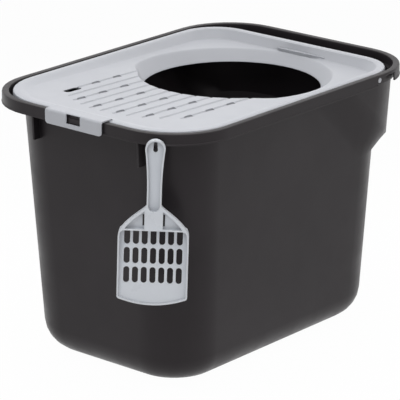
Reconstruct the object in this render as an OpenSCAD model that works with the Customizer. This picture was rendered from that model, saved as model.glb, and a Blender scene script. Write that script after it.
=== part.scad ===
// Top entry litter box: a deep moulded tub, a hinged lid with a grooved ramp and a round
// funnel entry, a flexing latch flap on the lid's front edge, and a slotted scoop on a hook.
// Origin: middle of the tub's resting face. X = width, Y = length (latch end at -Y), Z = up.

/* [Tub] */
// Length over the rim skirt
body_l = 520; // [480:1:600]
// Width over the rim skirt
body_w = 375; // [350:1:430]
// Height to the top of the rim
body_h = 370; // [320:1:420]
// Corner radius of the rim skirt
rim_r = 92; // [80:1:110]
// Wall thickness of the tub
tub_wall = 3; // [2.5:0.1:4]
// Inset of each long wall behind the skirt, at the rim
side_inset = 24.5; // [20:0.5:30]
// Inset of each short wall behind the skirt, at the rim
end_inset = 27.5; // [22:0.5:34]
// Draft of each long wall, from rim to floor
side_draft = 20; // [10:0.5:26]
// Draft of each short wall, from rim to floor
end_draft = 16; // [8:0.5:24]
// Plan radius of the wall corners
wall_r = 75; // [60:1:84]
// Radius between walls and floor
floor_r = 40; // [20:1:60]

/* [Rim] */
// Height of the skirt that hangs from the rim
skirt_h = 15.6; // [12:0.2:22]
// Thickness of the skirt
skirt_t = 2.5; // [2:0.1:4]
// Height of the bead along the skirt's lower edge
bead_h = 1.6; // [1:0.1:3]
// How far the bead stands out of the skirt
bead_out = 0.7; // [0.4:0.1:1]
// Thickness of the rim's flat top
rim_top_t = 3.5; // [3:0.1:5]
// Width of the raised lip, skirt face to inner face
lip_w = 10.5; // [9:0.1:13]
// Edge radius of the lip
lip_edge_r = 1.8; // [1:0.1:3]
// Depth of the lid ledge below the rim top
ledge_depth = 13; // [10:0.5:16]

/* [Shoulder] */
// How far the shoulder stands out of the far wall
shoulder_end_out = 20; // [10:0.5:20]
// How far the shoulder stands out of the long walls
shoulder_side_out = 17; // [10:0.5:17]
// Depth of the shoulder's upright part below the lid ledge, at the far end
shoulder_drop = 84; // [60:1:110]
// Height of the bevel under it
shoulder_bevel_h = 24; // [16:1:40]
// Slope of the bevel where it climbs the long walls, rise per length
shoulder_climb = 0.85; // [0.7:0.01:1.1]
// Distance from the rim's far face to where the bevel's foot meets the lid ledge
shoulder_start = 219; // [200:1:240]

/* [Rim details] */
// Length of the open notch in the skirt at each hinge pin
notch_l = 40; // [20:1:50]
// Distance of the two front ribs from the middle
rib_x = 94; // [70:1:100]
// Thickness of a front rib
rib_t = 3; // [2:0.1:5]
// Depth of a front rib out of the wall
rib_out = 10; // [6:0.5:14]
// Height of a front rib below the skirt
rib_drop = 40; // [20:1:60]
// Width of the catch behind the latch window
catch_w = 20; // [12:0.5:21]
// Height of the catch
catch_h = 7; // [4:0.5:8]
// How far the catch stands out past the skirt's bead
catch_out = 0.7; // [0.5:0.1:0.8]

/* [Lid] */
// Thickness of the lid
lid_t = 3.2; // [3:0.1:4]
// Gap between the lid's edge and the lip at the sides and front
lid_gap = 1; // [0.5:0.1:3]
// Distance of the lid's far edge from the rim's far face
lid_far_gap = 40; // [34:1:60]
// Corner radius of the lid at the latch end
lid_front_r = 90; // [84:1:110]
// Corner radius of the lid at the far end
lid_far_r = 62; // [61:1:80]
// Width of the lid's flat border
border_w = 9; // [6:0.5:14]
// Width of the slope inside the border
border_slope_w = 15; // [10:0.5:20]
// Depth of the field below the border, over the hole's middle
field_depth = 10.5; // [8:0.5:13]
// Fall of the field towards the far end, per length
field_fall = 0.0245; // [0.01:0.0005:0.035]
// Radius of the lid's outer edge
lid_edge_r = 3; // [2:0.1:4]

/* [Entry hole] */
// Radius of the hole at the funnel's lip
hole_r = 124; // [100:1:126]
// Distance of the hole's middle from the lid's far edge
hole_back = 161; // [160:1:168]
// Depth of the funnel's lip below the rim top
lip_depth = 29; // [22:1:40]
// Funnel width at the ramp
funnel_front_w = 6; // [4:0.5:10]
// Funnel width at the sides and the far end
funnel_side_w = 16; // [10:0.5:20]

/* [Ramp] */
// Number of grooves
groove_n = 11; // [5:2:13]
// Distance from groove to groove
groove_pitch = 20.5; // [14:0.5:21]
// Radius of a groove's section
groove_r = 3.3; // [3:0.1:5]
// Depth of a groove
groove_depth = 1.9; // [0.8:0.1:2]
// Radius of the arc on which the grooves start
ramp_arc_r = 141; // [120:1:160]
// Distance of the middle groove's start from the lid's front edge
ramp_margin = 37.5; // [34:0.5:46]
// Length of a recess
recess_l = 17; // [10:0.5:22]
// Width of a recess
recess_w = 8.5; // [7:0.1:10]
// Depth of a recess below the ramp
recess_depth = 2.4; // [1:0.1:2.4]
// Distance from recess to recess along a groove
recess_pitch = 43; // [30:1:60]
// Distance of the first recess from the groove's start
recess_start = 18; // [12:1:30]
// Recesses along every second groove
recess_n = 3; // [1:1:3]
// Length of the drain slot at the ramp's left corner
drain_l = 30; // [20:1:34]
// Width of the drain slot
drain_w = 12; // [6:0.5:13]
// Thickness of the lid around the drain slot
drain_skin = 1.2; // [1:0.1:2]
// Distance of the drain slot's middle from its groove's start
drain_start = 9; // [6:1:16]
// Length of the step at the foot of the far slope
step_l = 84; // [40:1:100]
// Height of the step over the field
step_h = 4.5; // [2:0.5:6]
// Distance of the step's middle from the lid's middle line
step_x = 10; // [0:1:20]

/* [Hinge] */
// Distance of the hinge axis from the rim's far face
hinge_back = 105; // [95:1:115]
// Depth of the hinge axis below the rim top
hinge_depth = 8; // [7:0.5:9]
// Radius of a hinge pin
pin_r = 3.5; // [2.5:0.1:4]
// Running clearance of a pin in its hole
pin_fit = 0.08; // [0.02:0.01:0.1]
// Length of a pin out of the lid's edge
pin_l = 9.5; // [8:0.1:10.5]

/* [Latch] */
// Width of the latch flap
latch_w = 100; // [60:1:120]
// Thickness of the flap
latch_t = 2; // [1.6:0.1:3]
// Height of the flap's face
latch_h = 20; // [17:0.5:26]
// Gap between the flap and the skirt
latch_gap = 1.5; // [1.5:0.1:3]
// Gap between the rim's top and the flap above it
latch_lift = 0.4; // [0.3:0.1:1]
// Outer bend radius of the flap
latch_bend_r = 3.6; // [3.2:0.1:5]
// Radius of the flap's lower corners
latch_corner_r = 5; // [2:0.5:8]
// Width of the window in the flap
window_w = 25; // [16:0.5:40]
// Height of the window
window_h = 13; // [10:0.5:13.5]
// Width of the thin line where the flap bends
bend_line = 0.3; // [0.3:0.05:0.6]

/* [Scoop] */
// Height of the scoop
scoop_h = 225; // [180:1:260]
// Width of the blade
blade_w = 92; // [86:1:100]
// Height of the blade, lip to shoulders
blade_h = 92; // [84:1:97]
// Height of the shoulders
shoulders_h = 44; // [40:1:56]
// Width of the rim round the sunk shoulders
shoulder_rim = 5; // [3:0.5:7]
// Width of the handle at its end
grip_w = 26; // [22:0.5:32]
// Width of the handle at its neck
neck_w = 19; // [16:0.5:19.5]
// Depth of the handle
grip_d = 8; // [6:0.5:12]
// Wall thickness of the scoop
scoop_t = 2; // [1.6:0.1:3]
// Height of the tray, lip to its upper end
tray_h = 102; // [98:1:108]
// Depth of the tray behind the rim at its upper end
tray_d = 14; // [8:0.5:20]
// Rise of the curved lip
lip_rise = 8; // [4:0.5:16]
// Radius of the blade's lower corners
lip_corner_r = 4; // [2:0.5:8]
// Radius of the tray's upper corners
tray_corner_r = 6; // [3:0.5:10]
// Slots across
slot_cols = 7; // [3:2:9]
// Distance from slot to slot
slot_pitch = 11.4; // [10:0.1:12]
// Width of a slot
slot_w = 7.8; // [5:0.1:8]
// Rows of slots
slot_rows = 3; // [1:1:3]
// Gap between rows of slots
row_gap = 4; // [3:0.5:8]
// Height of a slot
slot_h = 21.5; // [12:0.5:22]
// Width of the bridge from the tray up to the handle
bridge_w = 24; // [20:0.5:28]
// Depth of the hollow in the bridge
bridge_sink = 2.5; // [1:0.1:4]
// Width of the ridge between that hollow and the handle's channel
ridge_w = 3; // [2:0.5:5]
// How far the handle's channel runs on below the neck
channel_drop = 8; // [7:0.5:14]
// Width of the slots beside the bridge
side_slot_w = 2.5; // [1.5:0.1:3]
// Height of the slots beside the bridge
side_slot_h = 16; // [8:0.5:18]
// Turn of the hanging scoop from the front wall
scoop_turn = 39; // [20:1:60]
// Lean of the hanging scoop
scoop_lean = 1.8; // [0:0.1:4]

/* [Hook] */
// Position of the hook along the skirt's corner, degrees from the front
hook_turn = 25; // [15:1:40]
// Radius of the hook's peg
peg_r = 1.9; // [1.5:0.1:2.5]
// Rise of the peg, degrees
peg_rise = 30; // [20:1:45]
// Length of the peg out of its pad
peg_l = 10; // [8:0.5:14]
// Height of the hanging hole
hang_h = 13; // [10:0.5:16]

/* [Hidden] */
far = 400;
charcoal = "#2b2a2d";
cool_gray = "#c9ccd3";

// Segments of the tub's corners and of the lid's corners, long sides and short sides
corner_n = 10;
lid_corner_n = 9;
lid_side_n = 15;
lid_end_n = 13;
smooth_n = 48;

half_w = body_w / 2;
half_l = body_l / 2;
underside_z = body_h - rim_top_t;
skirt_z = body_h - skirt_h;
ledge_z = body_h - ledge_depth;
ledge_under_z = ledge_z - tub_wall;
lip_out = lip_w - tub_wall;

lid_hw = half_w - lip_w - lid_gap;
lid_yf = -half_l + lip_w + lid_gap;
lid_yb = half_l - lid_far_gap;
hole_y = lid_yb - hole_back;
flange_z = ledge_z + 0.3;
hinge_y = half_l - hinge_back;
hinge_z = body_h - hinge_depth;

latch_top_z = body_h + latch_lift + latch_t;
latch_in_y = -half_l - latch_gap;
latch_out_y = latch_in_y - latch_t;
latch_axis_y = latch_out_y + latch_bend_r;
latch_foot_z = latch_top_z - latch_h;
window_top_z = latch_top_z - 1;
window_foot_z = window_top_z - window_h;
catch_z = window_foot_z + 0.6;

// ---- outlines: rings of [x, y, nx, ny] points with their outward normals ----

function arc(cx, cy, r, from, n) =
    [for (i = [0 : n]) let (a = from + 90 * i / n)
        [cx + r * cos(a), cy + r * sin(a), cos(a), sin(a)]];

// Points between a and b at the given shares of the way
function between(a, b, shares) = [for (t = shares) [for (k = [0 : 3]) a[k] + (b[k] - a[k]) * t]];

function even(n) = [for (i = [1 : 1 : n - 1]) i / n];

// Rounded rectangle from -hx to hx and yf to yb, counter-clockwise from the right-hand wall;
// sn and en hold the shares at which the long and short sides are divided, from the near end
function outline(hx, yf, yb, rf, rb, cn, sn, en) =
    let (far_right = arc(hx - rb, yb - rb, rb, 0, cn),
         far_left = arc(rb - hx, yb - rb, rb, 90, cn),
         near_left = arc(rf - hx, yf + rf, rf, 180, cn),
         near_right = arc(hx - rf, yf + rf, rf, 270, cn))
    concat(far_right, between(far_right[cn], far_left[0], en),
           far_left, between(far_left[cn], near_left[0],
                             [for (i = [len(sn) - 1 : -1 : 0]) 1 - sn[i]]),
           near_left, between(near_left[cn], near_right[0], en),
           near_right, between(near_right[cn], far_right[0], sn));

// A closed skin over equal rings, capped at both ends. Its quads are split along the shoulder's
// climb, on the outside as on the inside, so the wall between them stays even
module skin(rings) {
    n = len(rings[0]);
    last = len(rings) - 1;
    shift = floor(corner_n / 2);
    sides = [for (k = [0 : last - 1], i = [0 : n - 1], half = [0, 1])
        let (a = k * n + i, b = k * n + (i + 1) % n, c = b + n, d = a + n,
             climbs = rings[k][i][0] * (rings[k][i][2] - rings[k + 1][i][2]) > 0)
        climbs ? (half == 0 ? [a, b, c] : [a, c, d]) : (half == 0 ? [a, b, d] : [b, c, d])];
    polyhedron(
        points = [for (r = rings, p = r) p],
        faces = concat([[for (i = [n - 1 : -1 : 0]) (i + shift) % n]], sides,
                       [[for (i = [0 : n - 1]) last * n + (i + shift) % n]]),
        convexity = 10);
}

// A skin whose last ring runs back into its first
module loop_skin(rings) {
    n = len(rings[0]);
    m = len(rings);
    faces = [for (k = [0 : m - 1], i = [0 : n - 1], half = [0, 1])
        let (a = k * n + i, b = k * n + (i + 1) % n,
             d = ((k + 1) % m) * n + i, c = ((k + 1) % m) * n + (i + 1) % n)
        half == 0 ? [a, c, b] : [a, d, c]];
    polyhedron(points = [for (r = rings, p = r) p], faces = faces, convexity = 10);
}

// ---- tub ----

function ease(t) = let (u = max(0, min(1, t))) u * u * (3 - 2 * u);

// The shoulder is laid out in rows: some in its upright part, some in its bevel at the far end.
// One step along a long wall lowers the bevel by one row
upright_rows = 7;
bevel_rows = 2;
band_rows = 4;
row_h = shoulder_drop / upright_rows;
bevel_row_h = shoulder_bevel_h / bevel_rows;
shoulder_top_z = ledge_under_z - shoulder_drop;
shoulder_foot_z = shoulder_top_z - shoulder_bevel_h;
shoulder_start_y = half_l - shoulder_start;
step_y = row_h / shoulder_climb;
side_run = body_l - 2 * end_inset - 2 * wall_r;
side_steps = floor((side_run / 2 - shoulder_start_y) / step_y);
side_shares = concat([0.19, 0.38, 0.5],
    [for (j = [0 : side_steps - 1]) 0.5 + (shoulder_start_y + j * step_y) / side_run]);
end_shares = even(4);

// Share of the shoulder's full offset at a point of the wall
function shoulder_share(y, z) =
    let (lead = ledge_under_z - (y - shoulder_start_y) * shoulder_climb,
         foot = max(lead, shoulder_foot_z),
         top = max(lead + band_rows * row_h, shoulder_top_z))
    max(0, min(1, (z - foot) / (top - foot)));

function rim_ring(inset, z) =
    [for (p = outline(half_w - inset, inset - half_l, half_l - inset,
                      rim_r - inset, rim_r - inset, corner_n, side_shares, end_shares))
        [p[0], p[1], z]];

// Outline of the wall with a share of its draft, moved inwards by t
function wall_line(drop, t) =
    let (hx = half_w - side_inset - side_draft * drop - t,
         hy = half_l - end_inset - end_draft * drop - t)
    outline(hx, -hy, hy, wall_r - t, wall_r - t, corner_n, side_shares, end_shares);

// Wall ring at height z; the shoulder stands out by its share at height share_z
function wall_ring(z, t, share_z) =
    let (line = wall_line((body_h - z) / body_h, t), top = wall_line(0, t))
    [for (i = [0 : len(line) - 1])
        let (p = line[i],
             full = shoulder_side_out * p[2] * p[2] + shoulder_end_out * p[3] * p[3],
             out = full * shoulder_share(top[i][1], share_z))
        [p[0] + out * p[2], p[1] + out * p[3], z]];

// Heights of the wall rings: a row apart over the shoulder, one between it and the floor
bevel_zs = concat([for (k = [0 : upright_rows]) ledge_under_z - k * row_h],
                  [for (k = [1 : bevel_rows]) shoulder_top_z - k * bevel_row_h]);
plain_zs = [(shoulder_foot_z + floor_r) / 2];
fillet_n = 6;

function fillet_rings(r, base_z, t) =
    [for (k = [0 : fillet_n]) let (a = 90 * k / fillet_n)
        wall_ring(base_z + r * (1 - sin(a)), t + r * (1 - cos(a)), 0)];

module tub_shell() {
    outer = concat([for (z = bevel_zs) wall_ring(z, 0, z)],
                   [for (z = plain_zs) wall_ring(z, 0, z)],
                   fillet_rings(floor_r, 0, 0));
    inner = concat([for (z = bevel_zs) wall_ring(z, tub_wall, z)],
                   [for (z = plain_zs) wall_ring(z, tub_wall, z)],
                   fillet_rings(floor_r - tub_wall, tub_wall, tub_wall));
    e = lip_edge_r;
    rim = [
        rim_ring(lip_w, ledge_z),
        rim_ring(lip_w, body_h - e),
        rim_ring(lip_w - e * 0.29, body_h - e * 0.29),
        rim_ring(lip_w - e, body_h),
        rim_ring(bead_out + e, body_h),
        rim_ring(bead_out + e * 0.29, body_h - e * 0.29),
        rim_ring(bead_out, body_h - e),
        rim_ring(bead_out, skirt_z + bead_h + bead_out),
        rim_ring(0, skirt_z + bead_h),
        rim_ring(0, skirt_z),
        rim_ring(skirt_t, skirt_z),
        rim_ring(skirt_t, underside_z),
        rim_ring(lip_out, underside_z),
        rim_ring(lip_out, ledge_under_z)];
    last = len(inner) - 1;
    skin(concat([for (k = [last : -1 : 0]) inner[k]],
                [wall_ring(ledge_z, tub_wall, ledge_under_z)], rim, outer));
}

// Open notch in the skirt, beside a hinge pin
module skirt_notch() {
    translate([half_w - lip_out + 1.5, hinge_y - pin_r - 1.5, skirt_z - 1])
        cube([lip_out, notch_l, underside_z - skirt_z + 0.7]);
}

module rim_cuts() {
    for (side = [0, 1])
        mirror([side, 0, 0]) {
            skirt_notch();
            translate([half_w - lip_w - 1, hinge_y, hinge_z])
                rotate([0, 90, 0])
                cylinder(r = pin_r + pin_fit, h = tub_wall + 3, $fn = smooth_n);
        }
}

// Upright rib under the front skirt
module front_rib() {
    top_y = -half_l + end_inset;
    lean = end_draft / body_h;
    root_y = top_y + tub_wall * 0.7;
    translate([-rib_t / 2, 0, 0])
        rotate([90, 0, 90])
        linear_extrude(rib_t)
        polygon([[root_y, ledge_under_z + 1],
                 [top_y - rib_out, ledge_under_z + 1],
                 [top_y - rib_out + lean * rib_drop, skirt_z - rib_drop],
                 [root_y + lean * (rib_drop + skirt_h), skirt_z - rib_drop]]);
}

// ---- hook: place the children at the hook, local -Y pointing away from the tub ----

hook_skirt_x = half_w - rim_r + rim_r * sin(hook_turn);
hook_skirt_y = -half_l + rim_r - rim_r * cos(hook_turn);
peg_z = skirt_z + 0.6;

module at_hook() {
    translate([hook_skirt_x, hook_skirt_y, peg_z])
        rotate([0, 0, scoop_turn])
        children();
}

module hook() {
    translate([hook_skirt_x, hook_skirt_y, 0])
        rotate([0, 0, hook_turn])
        translate([-4, -0.4, skirt_z - 4])
        cube([8, skirt_t, 12]);
    at_hook()
        rotate([90 - peg_rise, 0, 0])
        translate([0, 0, -1.5])
        cylinder(r = peg_r, h = peg_l + 1.5, $fn = smooth_n);
}

module tub() {
    color(charcoal) {
        difference() {
            tub_shell();
            rim_cuts();
        }
        for (x = [-rib_x, rib_x])
            translate([x, 0, 0])
                front_rib();
        translate([-catch_w / 2, -half_l - catch_out, catch_z])
            cube([catch_w, catch_out + bead_out + 1, catch_h]);
        hook();
    }
}

// ---- lid ----

function field_z(y) = body_h - field_depth - (y - hole_y) * field_fall;

function lid_outline(inset) =
    outline(lid_hw - inset, lid_yf + inset, lid_yb - inset, lid_front_r - inset,
            lid_far_r - inset, lid_corner_n, even(lid_side_n), even(lid_end_n));

// Radius of the funnel's crest: tight at the ramp, wide round the sides and the far end
function crest_r(d) = hole_r + funnel_front_w
    + (funnel_side_w - funnel_front_w) * ease((d[1] + 0.66) / 0.26);

// Outline ring kept outside the crest by a margin, at the border height less a share of the slope
function border_ring(inset, share, margin, lower) =
    [for (p = lid_outline(inset))
        let (v = [p[0], p[1] - hole_y], d = v / norm(v),
             q = d * max(norm(v), crest_r(d) + margin))
        [q[0], q[1] + hole_y, body_h - share * (body_h - field_z(q[1] + hole_y)) - lower]];

// Ring of the funnel: from the crest (share 0) to the hole's lip (share 1)
function funnel_ring(share, sink, out, lower) =
    [for (p = lid_outline(border_w + border_slope_w))
        let (v = [p[0], p[1] - hole_y], d = v / norm(v), c = crest_r(d),
             r = c + (hole_r - c) * share + out,
             top = field_z(hole_y + d[1] * c))
        [d[0] * r, hole_y + d[1] * r, top + (body_h - lip_depth - top) * sink - lower]];

function edge_ring(inset, z) = [for (p = lid_outline(inset)) [p[0], p[1], z]];

module lid_shell() {
    e = lid_edge_r;
    w = border_w;
    s = border_slope_w;
    top = [
        edge_ring(0, flange_z),
        edge_ring(0, body_h - e),
        edge_ring(e * 0.29, body_h - e * 0.29),
        edge_ring(e, body_h),
        edge_ring(w, body_h),
        border_ring(w + s * 0.2, 0.08, 9, 0),
        border_ring(w + s * 0.5, 0.5, 7, 0),
        border_ring(w + s * 0.8, 0.92, 5, 0),
        border_ring(w + s, 1, 3.5, 0),
        funnel_ring(0, 0, 2.5, 0),
        funnel_ring(0, 0.02, 0.8, 0),
        funnel_ring(0.06, 0.08, 0, 0),
        funnel_ring(0.2, 0.22, 0, 0),
        funnel_ring(0.9, 0.86, 0, 0),
        funnel_ring(1, 1, 0, 0)];
    bottom = [
        funnel_ring(1, 1, lid_t * 0.8, 0),
        funnel_ring(0.9, 0.86, lid_t, 0),
        funnel_ring(0.2, 0.22, lid_t, 0.8),
        funnel_ring(0, 0, lid_t, lid_t),
        border_ring(w + s, 1, 3.8 + lid_t, lid_t),
        border_ring(w + s * 0.5, 0.5, 7 + lid_t, lid_t),
        edge_ring(w, body_h - lid_t),
        edge_ring(lid_t, body_h - lid_t),
        edge_ring(lid_t - 0.5, flange_z)];
    loop_skin(concat(top, bottom));
}

// Place the children on the ramp: origin over the hole's middle line, Z along the ramp's normal
module on_ramp(x, y) {
    translate([x, y, field_z(y)])
        rotate([-atan(field_fall), 0, 0])
        children();
}

function groove_x(k) = (k - (groove_n - 1) / 2) * groove_pitch;
ramp_arc_y = lid_yf + ramp_margin + ramp_arc_r;
function groove_start(x) = ramp_arc_y - sqrt(ramp_arc_r * ramp_arc_r - x * x);

module groove(x) {
    y = groove_start(x);
    on_ramp(x, y + groove_r)
        translate([0, 0, groove_r - groove_depth]) {
            sphere(groove_r, $fn = smooth_n);
            rotate([-90, 0, 0])
                cylinder(r = groove_r, h = hole_y - y, $fn = smooth_n);
        }
}

oblong_top = 5;
drain_land = 8;

// Oblong recess with round ends, along a groove
module oblong(l, w, depth) {
    translate([0, 0, -depth]) {
        for (side = [-1, 1])
            translate([0, side * (l - w) / 2, 0])
                cylinder(d = w, h = depth + oblong_top, $fn = smooth_n);
        translate([-w / 2, -(l - w) / 2, 0])
            cube([w, l - w, depth + oblong_top]);
    }
}

module ramp_cuts() {
    for (k = [0 : groove_n - 1]) {
        x = groove_x(k);
        groove(x);
        if (k % 2 == 0)
            for (i = [k == 0 ? 1 : 0 : recess_n - 1])
                on_ramp(x, groove_start(x) + recess_start + i * recess_pitch)
                    oblong(recess_l, recess_w, recess_depth);
    }
    on_ramp(groove_x(0) + 3, groove_start(groove_x(0)) + drain_start) {
        oblong(drain_l, drain_w, lid_t * 3);
        // pocket that thins the lid from below
        translate([0, 0, -drain_skin - oblong_top])
            oblong(drain_l + drain_land, drain_w + drain_land, lid_t);
    }
}

// Step at the foot of the far slope, with its riser towards the hole
module far_step() {
    y = hole_y + hole_r + funnel_side_w + 1;
    z = field_z(y);
    translate([step_x - step_l / 2, y, z - lid_t / 2])
        cube([step_l, border_slope_w * 0.4, step_h + lid_t / 2]);
}

// Root of the latch flap: a tongue that rises from the border to the flap's height
module latch_root() {
    translate([-latch_w / 2, 0, 0])
        rotate([90, 0, 90])
        linear_extrude(latch_w)
        polygon([[latch_axis_y + bend_line, latch_top_z - latch_t],
                 [latch_axis_y + bend_line, latch_top_z],
                 [lid_yf + lid_edge_r + 3, latch_top_z],
                 [lid_yf + border_w, body_h - 1],
                 [lid_yf + lid_edge_r, body_h - lid_t / 2],
                 [lid_yf + 1, latch_top_z - latch_t]]);
}

module hinge_pins() {
    for (side = [0, 1])
        mirror([side, 0, 0])
            translate([lid_hw - 1.5, hinge_y, hinge_z])
            rotate([0, 90, 0])
            cylinder(r = pin_r, h = pin_l + 1.5, $fn = smooth_n);
}

module lid() {
    color(cool_gray) {
        difference() {
            lid_shell();
            ramp_cuts();
        }
        far_step();
        latch_root();
        hinge_pins();
    }
}

// ---- latch flap ----

// Side view of the flap: a quarter bend over a straight face
module latch_profile() {
    b = latch_bend_r;
    difference() {
        union() {
            intersection() {
                translate([latch_axis_y, latch_top_z - b])
                    circle(b, $fn = smooth_n);
                translate([latch_out_y, latch_top_z - b])
                    square(b);
            }
            translate([latch_out_y, latch_foot_z])
                square([latch_t, latch_h - b]);
        }
        translate([latch_axis_y, latch_top_z - b])
            circle(b - latch_t, $fn = smooth_n);
    }
}

module latch_flap() {
    c = latch_corner_r;
    color(cool_gray)
        difference() {
            translate([-latch_w / 2, 0, 0])
                rotate([90, 0, 90])
                linear_extrude(latch_w)
                latch_profile();
            translate([-window_w / 2, latch_out_y - 1, window_foot_z])
                cube([window_w, latch_t + 2, window_h]);
            for (side = [0, 1])
                mirror([side, 0, 0])
                    translate([latch_w / 2 - c, latch_out_y - 1, latch_foot_z - 1])
                    difference() {
                        cube([c + 1, latch_t + 2, c + 1]);
                        translate([0, -1, c + 1])
                            rotate([-90, 0, 0])
                            cylinder(r = c, h = latch_t + 4, $fn = smooth_n);
                    }
        }
}

// ---- scoop: drawn upright with the top of its hanging hole at the origin ----

hole_top_gap = peg_r / cos(peg_rise) + scoop_t * tan(peg_rise) + 0.2;
grip_top = 5;
foot = grip_top - scoop_h;
tray_top = foot + tray_h;
neck_z = foot + blade_h + shoulders_h;
grip_r = grip_w / 2;
grip_z = grip_top - grip_r;

// Half outline of the scoop, lip to handle end, moved inwards by e
function lip_pts(e) =
    let (r = lip_corner_r, rc = max(r - e, 1), turn = atan(2 * lip_rise / (blade_w / 2 - r)),
         x_end = blade_w / 2 - e - rc * (1 - sin(turn)), y_end = foot + e + lip_rise)
    concat([for (i = [0 : 8]) [x_end * i / 8, y_end - lip_rise * (1 - pow(i / 8, 2))]],
           [for (i = [1 : 5]) let (a = turn - 90 + (90 - turn) * i / 5)
               [x_end - rc * sin(turn) + rc * cos(a), y_end + rc * cos(turn) + rc * sin(a)]]);

function shoulder_pts(e) =
    [for (i = [0 : 14]) let (u = 1 - i / 14, v = 1.05 * u * u / (u + 0.05))
        [neck_w / 2 - e + (blade_w - neck_w) / 2 * sin(90 * v), neck_z - shoulders_h * u]];

// Sides of the handle: hollow, as narrow as the neck over their lowest quarter
function grip_pts(e) =
    [for (i = [0 : 8]) let (u = i / 8)
        [neck_w / 2 - e + (grip_w - neck_w) / 2 * u * u,
         neck_z + (grip_z - neck_z) * (0.25 + 0.75 * u)]];

module scoop_half(e) {
    polygon(concat(lip_pts(e), shoulder_pts(e), grip_pts(e), [[0, grip_z]]));
}

module scoop_outline(e) {
    scoop_half(e);
    mirror([1, 0])
        scoop_half(e);
    translate([0, grip_z])
        circle(grip_r - e, $fn = smooth_n);
}

// Extrude a drawing from depth a to depth b behind the scoop's rim
module slab(a, b) {
    translate([0, b - grip_d, 0])
        rotate([90, 0, 0])
        linear_extrude(b - a)
        children();
}

// Everything behind the tray's floor, at a depth from its surface
module behind_floor(depth) {
    fall = atan((tray_d - scoop_t) / (tray_top - foot));
    translate([0, depth - grip_d, foot])
        rotate([-fall, 0, 0])
        translate([-far / 2, 0, -far / 2])
        cube([far, far, far]);
}

module blade_slots() {
    low = tray_top - 1 - slot_rows * slot_h - (slot_rows - 1) * row_gap;
    for (c = [0 : slot_cols - 1], r = [0 : slot_rows - 1])
        translate([(c - (slot_cols - 1) / 2) * slot_pitch, low + r * (slot_h + row_gap)]) {
            translate([-slot_w / 2, slot_w / 2])
                square([slot_w, slot_h - slot_w]);
            for (z = [slot_w / 2, slot_h - slot_w / 2])
                translate([0, z])
                    circle(d = slot_w, $fn = 32);
        }
}

module hanging_hole() {
    top_r = peg_r + 0.3;
    low_r = top_r + 0.8;
    translate([0, -top_r])
        circle(top_r, $fn = smooth_n);
    translate([0, low_r - hang_h])
        circle(low_r, $fn = smooth_n);
    polygon([[-top_r, -top_r], [-low_r, low_r - hang_h],
             [low_r, low_r - hang_h], [top_r, -top_r]]);
}

module bridge_outline() {
    translate([-bridge_w / 2, tray_top - 1])
        square([bridge_w, neck_z - tray_top]);
}

// Outline of the tray with its upper corners rounded: e is 0 outside and scoop_t inside
module tray_outline(e) {
    r = tray_corner_r + scoop_t - e;
    hw = blade_w / 2 - e;
    top = tray_top + scoop_t - e;
    intersection() {
        scoop_outline(e);
        union() {
            translate([-hw, foot - 1])
                square([2 * hw, top - r - foot + 1]);
            translate([r - hw, foot - 1])
                square([2 * (hw - r), top - foot + 1]);
            for (side = [-1, 1])
                translate([side * (hw - r), top - r])
                    circle(r, $fn = smooth_n);
        }
    }
}

// Round hollow across the bridge, from the tray up to the ridge below the handle's channel
module bridge_hollow() {
    half = (neck_z - channel_drop - ridge_w - tray_top) / 2;
    r = (half * half + bridge_sink * bridge_sink) / (2 * bridge_sink);
    translate([-bridge_w / 2, bridge_sink - grip_d - r, tray_top + half])
        rotate([0, 90, 0])
        cylinder(r = r, h = bridge_w, $fn = 2 * smooth_n);
}

// Channel along the handle, with a round end below the neck
module channel_outline() {
    r = neck_w / 2 - scoop_t;
    intersection() {
        scoop_outline(scoop_t);
        translate([-far / 2, neck_z])
            square([far, far]);
    }
    translate([-r, neck_z - channel_drop + r])
        square([2 * r, channel_drop - r + 1]);
    translate([0, neck_z - channel_drop + r])
        circle(r, $fn = smooth_n);
}

module scoop_body() {
    difference() {
        union() {
            // the tray's body, cut back to its sloping floor
            difference() {
                slab(0, tray_d + scoop_t)
                    tray_outline(0);
                behind_floor(scoop_t * 2);
            }
            // shoulders and handle
            slab(0, grip_d)
                intersection() {
                    scoop_outline(0);
                    translate([-far / 2, tray_top - tray_corner_r])
                        square([far, far]);
                }
        }
        difference() {
            slab(-1, tray_d)
                tray_outline(scoop_t);
            behind_floor(scoop_t);
        }
        // the sunk shoulders above the tray
        slab(-1, grip_d - scoop_t)
            difference() {
                intersection() {
                    scoop_outline(shoulder_rim);
                    translate([-far / 2, tray_top + scoop_t])
                        square([far, neck_z - tray_top - scoop_t - 1]);
                }
                bridge_outline();
            }
        bridge_hollow();
        slab(-1, grip_d - scoop_t)
            channel_outline();
        slab(-1, tray_d * 3) {
            blade_slots();
            hanging_hole();
            for (side = [-1, 1])
                translate([side * (bridge_w + side_slot_w) / 2 - side_slot_w / 2,
                           tray_top + scoop_t + 3])
                    square([side_slot_w, side_slot_h]);
        }
    }
}

module scoop() {
    color(cool_gray)
        at_hook()
        translate([0, -3, 3 * tan(peg_rise) + hole_top_gap])
        rotate([0, scoop_lean, 0])
        scoop_body();
}

tub();
lid();
latch_flap();
scoop();
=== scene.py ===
"""Top entry litter box: looks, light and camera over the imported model. Lengths are in metres."""
import math

import bpy
from mathutils import Matrix, Vector

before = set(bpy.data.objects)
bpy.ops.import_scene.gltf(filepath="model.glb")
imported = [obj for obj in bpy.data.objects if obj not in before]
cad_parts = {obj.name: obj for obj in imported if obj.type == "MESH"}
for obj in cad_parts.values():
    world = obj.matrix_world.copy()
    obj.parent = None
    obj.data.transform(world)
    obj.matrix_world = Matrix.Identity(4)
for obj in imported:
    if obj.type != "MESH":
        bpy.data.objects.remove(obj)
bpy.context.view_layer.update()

# ---- camera: fitted to the rim and the resting edge in the photo ----

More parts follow.
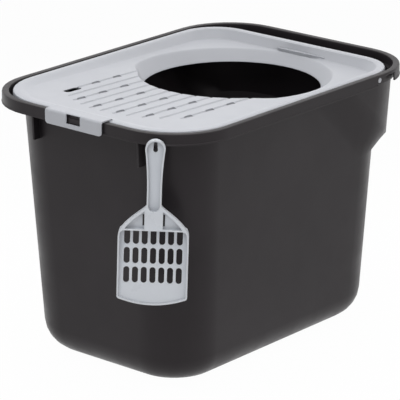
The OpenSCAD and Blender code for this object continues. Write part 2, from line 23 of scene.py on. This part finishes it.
CAM_AZIMUTH = math.radians(40.7)
CAM_ELEVATION = math.radians(18.47)
CAM_ROLL = math.radians(-0.13)
CAM_PLACE = Vector((2.44003, -2.84559, 1.44038))
PHOTO_WIDTH = 400
FOCAL_PX = 2836
SENSOR_MM = 36
NEAREST_SEEN = 0.1
FARTHEST_SEEN = 50


def add_camera():
    sin_a, cos_a = math.sin(CAM_AZIMUTH), math.cos(CAM_AZIMUTH)
    sin_e, cos_e = math.sin(CAM_ELEVATION), math.cos(CAM_ELEVATION)
    back = Vector((sin_a * cos_e, -cos_a * cos_e, sin_e))
    level = Vector((cos_a, sin_a, 0))
    up = back.cross(level)
    right = level * math.cos(CAM_ROLL) + up * math.sin(CAM_ROLL)
    up = back.cross(right)
    data = bpy.data.cameras.new("camera")
    data.sensor_width = SENSOR_MM
    data.lens = FOCAL_PX / PHOTO_WIDTH * SENSOR_MM
    data.clip_start = NEAREST_SEEN
    data.clip_end = FARTHEST_SEEN
    camera = bpy.data.objects.new("camera", data)
    turn = Matrix((right, up, back)).transposed().to_4x4()
    camera.matrix_world = Matrix.Translation(CAM_PLACE) @ turn
    bpy.context.scene.collection.objects.link(camera)
    bpy.context.scene.camera = camera


# ---- node helpers ----


class Nodes:
    """Short calls for making and linking the nodes of one tree."""

    def __init__(self, tree):
        self.tree = tree
        tree.nodes.clear()

    def put(self, value, socket):
        """Link a socket's output, or set a plain value on the socket itself."""
        if isinstance(value, bpy.types.NodeSocket):
            self.tree.links.new(value, socket)
        else:
            socket.default_value = value

    def add(self, kind, inputs=(), **settings):
        node = self.tree.nodes.new(kind)
        for key, value in settings.items():
            setattr(node, key, value)
        for key, value in dict(inputs).items():
            self.put(value, node.inputs[key])
        return node

    def math(self, operation, a, b):
        return self.add("ShaderNodeMath", {0: a, 1: b}, operation=operation).outputs[0]

    def vector(self, operation, inputs):
        """A vector sum whose result is one number."""
        return self.add("ShaderNodeVectorMath", inputs, operation=operation).outputs["Value"]

    def noise(self, where, scale, detail, rough=0.5):
        return self.add("ShaderNodeTexNoise", {"Vector": where, "Scale": scale, "Detail": detail,
                                               "Roughness": rough}).outputs["Fac"]

    def ramp(self, value, span, low=0.0, high=1.0):
        """From low to high while the value goes through the span."""
        return self.add("ShaderNodeMapRange", {"Value": value, "From Min": span[0],
                                               "From Max": span[1], "To Min": low,
                                               "To Max": high},
                        interpolation_type="SMOOTHSTEP").outputs["Result"]

    def mix(self, share, a, b):
        """Colour a with a share of colour b."""
        node = self.add("ShaderNodeMix", data_type="RGBA")
        share_in, first_in, second_in, colour_out = 0, 6, 7, 2
        self.put(share, node.inputs[share_in])
        self.put(a, node.inputs[first_in])
        self.put(b, node.inputs[second_in])
        return node.outputs[colour_out]

    def blend(self, share, a, b):
        """Shader a with a share of shader b."""
        return self.add("ShaderNodeMixShader", {0: share, 1: a, 2: b}).outputs[0]


# ---- light, floor and background ----

WHITE = (1.0, 1.0, 1.0, 1.0)

SKY_TINT = (0.97, 0.98, 1.0, 1.0)
SKY_RISE = 0.35
FAR_SIDE = (-math.sin(CAM_AZIMUTH), math.cos(CAM_AZIMUTH), SKY_RISE)
SKY_SPAN = (-0.3, 0.9)          # how far towards the far side the sky starts and ends to brighten
SKY_NEAR_GLOW = 0.16
SKY_FAR_GLOW = 1.3

FLOOR_REACH = 12.0
FLOOR_PAINT = (0.86, 0.86, 0.86, 1.0)
FLOOR_SPAN = (0.3, 1.3)         # distances between which the floor's own glow fades
FLOOR_NEAR_GLOW = 1.0
FLOOR_FAR_GLOW = 0.38
FLOOR_GLOW_SHARE = 0.5
FLOOR_WHITE_SHARE = 0.96        # the rest of what the camera sees keeps the object's shadow


def background_share(nodes):
    """1 for rays that show the background: the camera's own, mirrored and let through."""
    path = nodes.add("ShaderNodeLightPath").outputs
    seen = nodes.math("MAXIMUM", path["Is Camera Ray"], path["Is Glossy Ray"])
    return nodes.math("MAXIMUM", seen, path["Is Transmission Ray"])


def add_world():
    """A sky that is white to look at and lights the object mostly from its far side."""
    world = bpy.data.worlds.new("studio")
    bpy.context.scene.world = world
    world.use_nodes = True
    n = Nodes(world.node_tree)
    where = n.add("ShaderNodeTexCoord").outputs["Generated"]
    towards = n.vector("DOT_PRODUCT", {0: where, 1: FAR_SIDE})
    glow = n.ramp(towards, SKY_SPAN, SKY_NEAR_GLOW, SKY_FAR_GLOW)
    dim = n.add("ShaderNodeBackground", {"Color": SKY_TINT, "Strength": glow})
    white = n.add("ShaderNodeBackground", {"Color": WHITE, "Strength": 1.0})
    sky = n.blend(background_share(n), dim.outputs[0], white.outputs[0])
    n.add("ShaderNodeOutputWorld", {"Surface": sky})


def floor_material():
    """Matt white, and glowing round the object: a painted light that stands in for a lit table."""
    material = bpy.data.materials.new("floor")
    material.use_nodes = True
    n = Nodes(material.node_tree)
    where = n.add("ShaderNodeTexCoord").outputs["Object"]
    glow = n.ramp(n.vector("LENGTH", {0: where}), FLOOR_SPAN, FLOOR_NEAR_GLOW, FLOOR_FAR_GLOW)
    matt = n.add("ShaderNodeBsdfDiffuse", {"Color": FLOOR_PAINT})
    # painted light: the floor itself glows round the object, brightest close to it
    bounce = n.add("ShaderNodeEmission", {"Color": WHITE, "Strength": glow})
    lit = n.blend(FLOOR_GLOW_SHARE, matt.outputs[0], bounce.outputs[0])
    white = n.add("ShaderNodeEmission", {"Color": WHITE, "Strength": 1.0})
    share = n.math("MULTIPLY", background_share(n), FLOOR_WHITE_SHARE)
    n.add("ShaderNodeOutputMaterial", {"Surface": n.blend(share, lit, white.outputs[0])})
    return material


def add_floor():
    corners = [(x * FLOOR_REACH, y * FLOOR_REACH, 0) for x, y in ((-1, -1), (1, -1), (1, 1), (-1, 1))]
    mesh = bpy.data.meshes.new("floor")
    mesh.from_pydata(corners, [], [range(len(corners))])
    mesh.materials.append(floor_material())
    floor = bpy.data.objects.new("floor", mesh)
    bpy.context.scene.collection.objects.link(floor)


def add_lamp(name, place, aim, size, power, tint):
    data = bpy.data.lights.new(name, "AREA")
    data.color = tint
    data.shape = "DISK"
    data.size = size
    data.energy = power
    lamp = bpy.data.objects.new(name, data)
    lamp.location = place
    lamp.rotation_euler = (Vector(aim) - Vector(place)).to_track_quat("-Z", "Y").to_euler()
    bpy.context.scene.collection.objects.link(lamp)


# ---- plastics: scales are waves per metre, spans are where a ramp starts and ends ----

CLOUD_SCALE = 9.0
SPECK_SCALE = 700.0
CLOUD_SHARE = 0.75
TONE_SPAN = (0.35, 0.65)

# painted highlight: outer, rounded edges are made paler, broken up into patches
EDGE_SPAN = (0.80, 0.99)        # how alike the rounded and the flat normal are
OUTER_SPAN = (0.55, 0.85)       # how much open sky tells an outer edge from an inner one
PATCH_SCALE = 45.0
PATCH_SPAN = (0.2, 0.7)
LEAST_PATCH = 0.55
PALE_GAIN = 1.35
PALE_LIFT = 0.05
PALEST = 0.96

# painted shade in creases and where walls stand close together
CREASE_SHADE_SPAN = (0.35, 0.95)
CREASE_SHADE_GAIN = 0.45

GLOSS_SCALE = 26.0
GLOSS_SPAN = (0.3, 0.7)
SMOOTHER = 0.05
ROUGHER = 0.06
HIGHLIGHT_SMOOTHER = 0.12

GRAIN_SCALE = 1500.0
GRAIN_DEPTH = 0.00012
WAVE_SCALE = 11.0
WAVE_DEPTH = 0.0016
WAVE_STRENGTH = 0.25

PLASTIC_IOR = 1.47


def scaled(base, gain, lift=0.0, most=1.0):
    """The base colour times a gain and a little lighter, as a socket takes it."""
    return tuple(min(most, c * gain + lift) for c in base) + (1.0,)


def mottled(n, where, base, mottle):
    """The base colour, lighter and darker by a share of mottle in clouds and specks."""
    cloud = n.noise(where, CLOUD_SCALE, detail=4.0)
    speck = n.noise(where, SPECK_SCALE, detail=2.0)
    tone = n.math("ADD", n.math("MULTIPLY", cloud, CLOUD_SHARE),
                  n.math("MULTIPLY", speck, 1 - CLOUD_SHARE))
    return n.mix(n.ramp(tone, TONE_SPAN), scaled(base, 1 - mottle), scaled(base, 1 + mottle))


def painted_edge_highlight(n, where, rounded, open_sky, highlight_strength):
    """How much painted highlight each place gets: outer edges, broken up into patches."""
    flat = n.add("ShaderNodeNewGeometry").outputs["Normal"]
    alike = n.vector("DOT_PRODUCT", {0: rounded, 1: flat})
    edge = n.ramp(alike, EDGE_SPAN, 1.0, 0.0)
    outer = n.ramp(open_sky, OUTER_SPAN)
    patchy = n.ramp(n.noise(where, PATCH_SCALE, detail=3.0), PATCH_SPAN, LEAST_PATCH, 1.0)
    return n.math("MULTIPLY", n.math("MULTIPLY", edge, outer), n.math("MULTIPLY", patchy, highlight_strength))


def uneven_gloss(n, where, rough, highlight_share):
    """Roughness that drifts over the surface and is lower where the edge highlight is painted."""
    drift = n.noise(where, GLOSS_SCALE, detail=5.0, rough=0.6)
    gloss = n.ramp(drift, GLOSS_SPAN, rough - SMOOTHER, rough + ROUGHER)
    return n.math("SUBTRACT", gloss, n.math("MULTIPLY", highlight_share, HIGHLIGHT_SMOOTHER))


def moulded_skin(n, where, grain, rounded):
    """Normal of a moulded wall: rounded edges, fine grain and slow waves."""
    fine = n.add("ShaderNodeBump", {"Strength": grain, "Distance": GRAIN_DEPTH,
                                    "Height": n.noise(where, GRAIN_SCALE, detail=3.0),
                                    "Normal": rounded})
    slow = n.add("ShaderNodeBump", {"Strength": WAVE_STRENGTH, "Distance": WAVE_DEPTH,
                                    "Height": n.noise(where, WAVE_SCALE, detail=1.0),
                                    "Normal": fine.outputs[0]})
    return slow.outputs[0]


def plastic(name, base, mottle, rough, grain, highlight_strength, edge_r, crease_shade, reach,
            sheen=WHITE, shine=0.5):
    """Moulded plastic: cloudy colour, fine grain, uneven gloss, painted edge highlights and painted
    shade in creases.

    mottle: share by which the colour varies; grain: strength of the fine bump;
    highlight_strength: how much paler the painted highlight on outer edges is; edge_r: radius
    of the edges; crease_shade: how much darker the painted shade in creases is;
    reach: how far a wall shades the one next to it; sheen: tint of the plastic's gloss;
    shine: how much light the gloss throws back.
    """
    material = bpy.data.materials.new(name)
    material.use_nodes = True
    n = Nodes(material.node_tree)
    where = n.add("ShaderNodeTexCoord").outputs["Object"]
    open_sky = n.add("ShaderNodeAmbientOcclusion", {"Distance": reach}, samples=8,
                     only_local=True).outputs["AO"]
    rounded = n.add("ShaderNodeBevel", {"Radius": edge_r}, samples=6).outputs[0]
    highlight_share = painted_edge_highlight(n, where, rounded, open_sky, highlight_strength)
    shaded = n.math("MULTIPLY", n.ramp(open_sky, CREASE_SHADE_SPAN, 1.0, 0.0), crease_shade)

    colour = mottled(n, where, base, mottle)
    # painted highlight: outer, rounded edges made paler
    colour = n.mix(highlight_share, colour, scaled(base, PALE_GAIN, PALE_LIFT, PALEST))
    # painted shade: creases and places close to other walls made darker
    colour = n.mix(shaded, colour, scaled(base, CREASE_SHADE_GAIN))
    bsdf = n.add("ShaderNodeBsdfPrincipled", {"Base Color": colour,
                                              "Roughness": uneven_gloss(n, where, rough, highlight_share),
                                              "Normal": moulded_skin(n, where, grain, rounded),
                                              "IOR": PLASTIC_IOR,
                                              "Specular Tint": sheen,
                                              "Specular IOR Level": shine})
    n.add("ShaderNodeOutputMaterial", {"Surface": bsdf.outputs[0]})
    return material


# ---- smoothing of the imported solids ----

SHARP_ANGLE = math.radians(30)
WELD_DISTANCE = 0.00001


def smoothing():
    """Node group that joins the faces' edges and blends those that meet at a small angle."""
    tree = bpy.data.node_groups.new("smooth_skin", "GeometryNodeTree")
    for in_out in ("INPUT", "OUTPUT"):
        tree.interface.new_socket("Geometry", in_out=in_out, socket_type="NodeSocketGeometry")
    n = Nodes(tree)
    start = n.add("NodeGroupInput")
    welded = n.add("GeometryNodeMergeByDistance", {"Geometry": start.outputs[0],
                                                   "Distance": WELD_DISTANCE})
    smooth = n.add("GeometryNodeSetShadeSmooth", {"Geometry": welded.outputs[0],
                                                  "Shade Smooth": True}, domain="FACE")
    angle = n.add("GeometryNodeInputMeshEdgeAngle").outputs["Unsigned Angle"]
    sharp = n.math("GREATER_THAN", angle, SHARP_ANGLE)
    split = n.add("GeometryNodeSetShadeSmooth", {"Geometry": smooth.outputs[0],
                                                 "Selection": sharp,
                                                 "Shade Smooth": False}, domain="EDGE")
    n.add("NodeGroupOutput", {0: split.outputs[0]})
    return tree


def finish_node(node, material, skin):
    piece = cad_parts[node]
    piece.data.materials.clear()
    piece.data.materials.append(material)
    piece.modifiers.new("smooth_skin", "NODES").node_group = skin
    even = piece.modifiers.new("even_normals", "WEIGHTED_NORMAL")
    even.mode = "FACE_AREA_WITH_ANGLE"
    even.keep_sharp = True


# ---- the scene ----

add_camera()
add_world()
add_floor()
add_lamp("top_softbox", place=(0.4, -0.1, 2.6), aim=(0, 0, 0.3), size=2.2, power=14,
         tint=(1.0, 1.0, 1.0))
add_lamp("front_softbox", place=(0.45, -1.15, 1.45), aim=(0, -0.1, 0.25), size=0.8, power=6.6,
         tint=(0.93, 0.97, 1.0))
add_lamp("right_softbox", place=(2.6, 0.6, 1.5), aim=(0, 0, 0.2), size=1.4, power=8,
         tint=(1.0, 0.99, 1.0))

charcoal = plastic("charcoal_plastic", (0.0225, 0.0190, 0.0208), mottle=0.10, rough=0.36,
                   grain=0.35, highlight_strength=0.45, edge_r=0.0009, crease_shade=0.9, reach=0.016,
                   sheen=(1.0, 0.96, 0.975, 1.0), shine=0.23)
cool_gray = plastic("cool_gray_plastic", (0.520, 0.526, 0.556), mottle=0.012, rough=0.42,
                    grain=0.25, highlight_strength=0.8, edge_r=0.0008, crease_shade=0.75, reach=0.006)
scoop_gray = plastic("scoop_plastic", (0.76, 0.78, 0.82), mottle=0.02, rough=0.30,
                     grain=0.25, highlight_strength=1.2, edge_r=0.0012, crease_shade=0.45, reach=0.012)

smooth_skin = smoothing()
finish_node("tub", charcoal, smooth_skin)
finish_node("lid", cool_gray, smooth_skin)
finish_node("latch_flap", cool_gray, smooth_skin)
finish_node("scoop", scoop_gray, smooth_skin)

bpy.context.scene.view_settings.view_transform = "Standard"
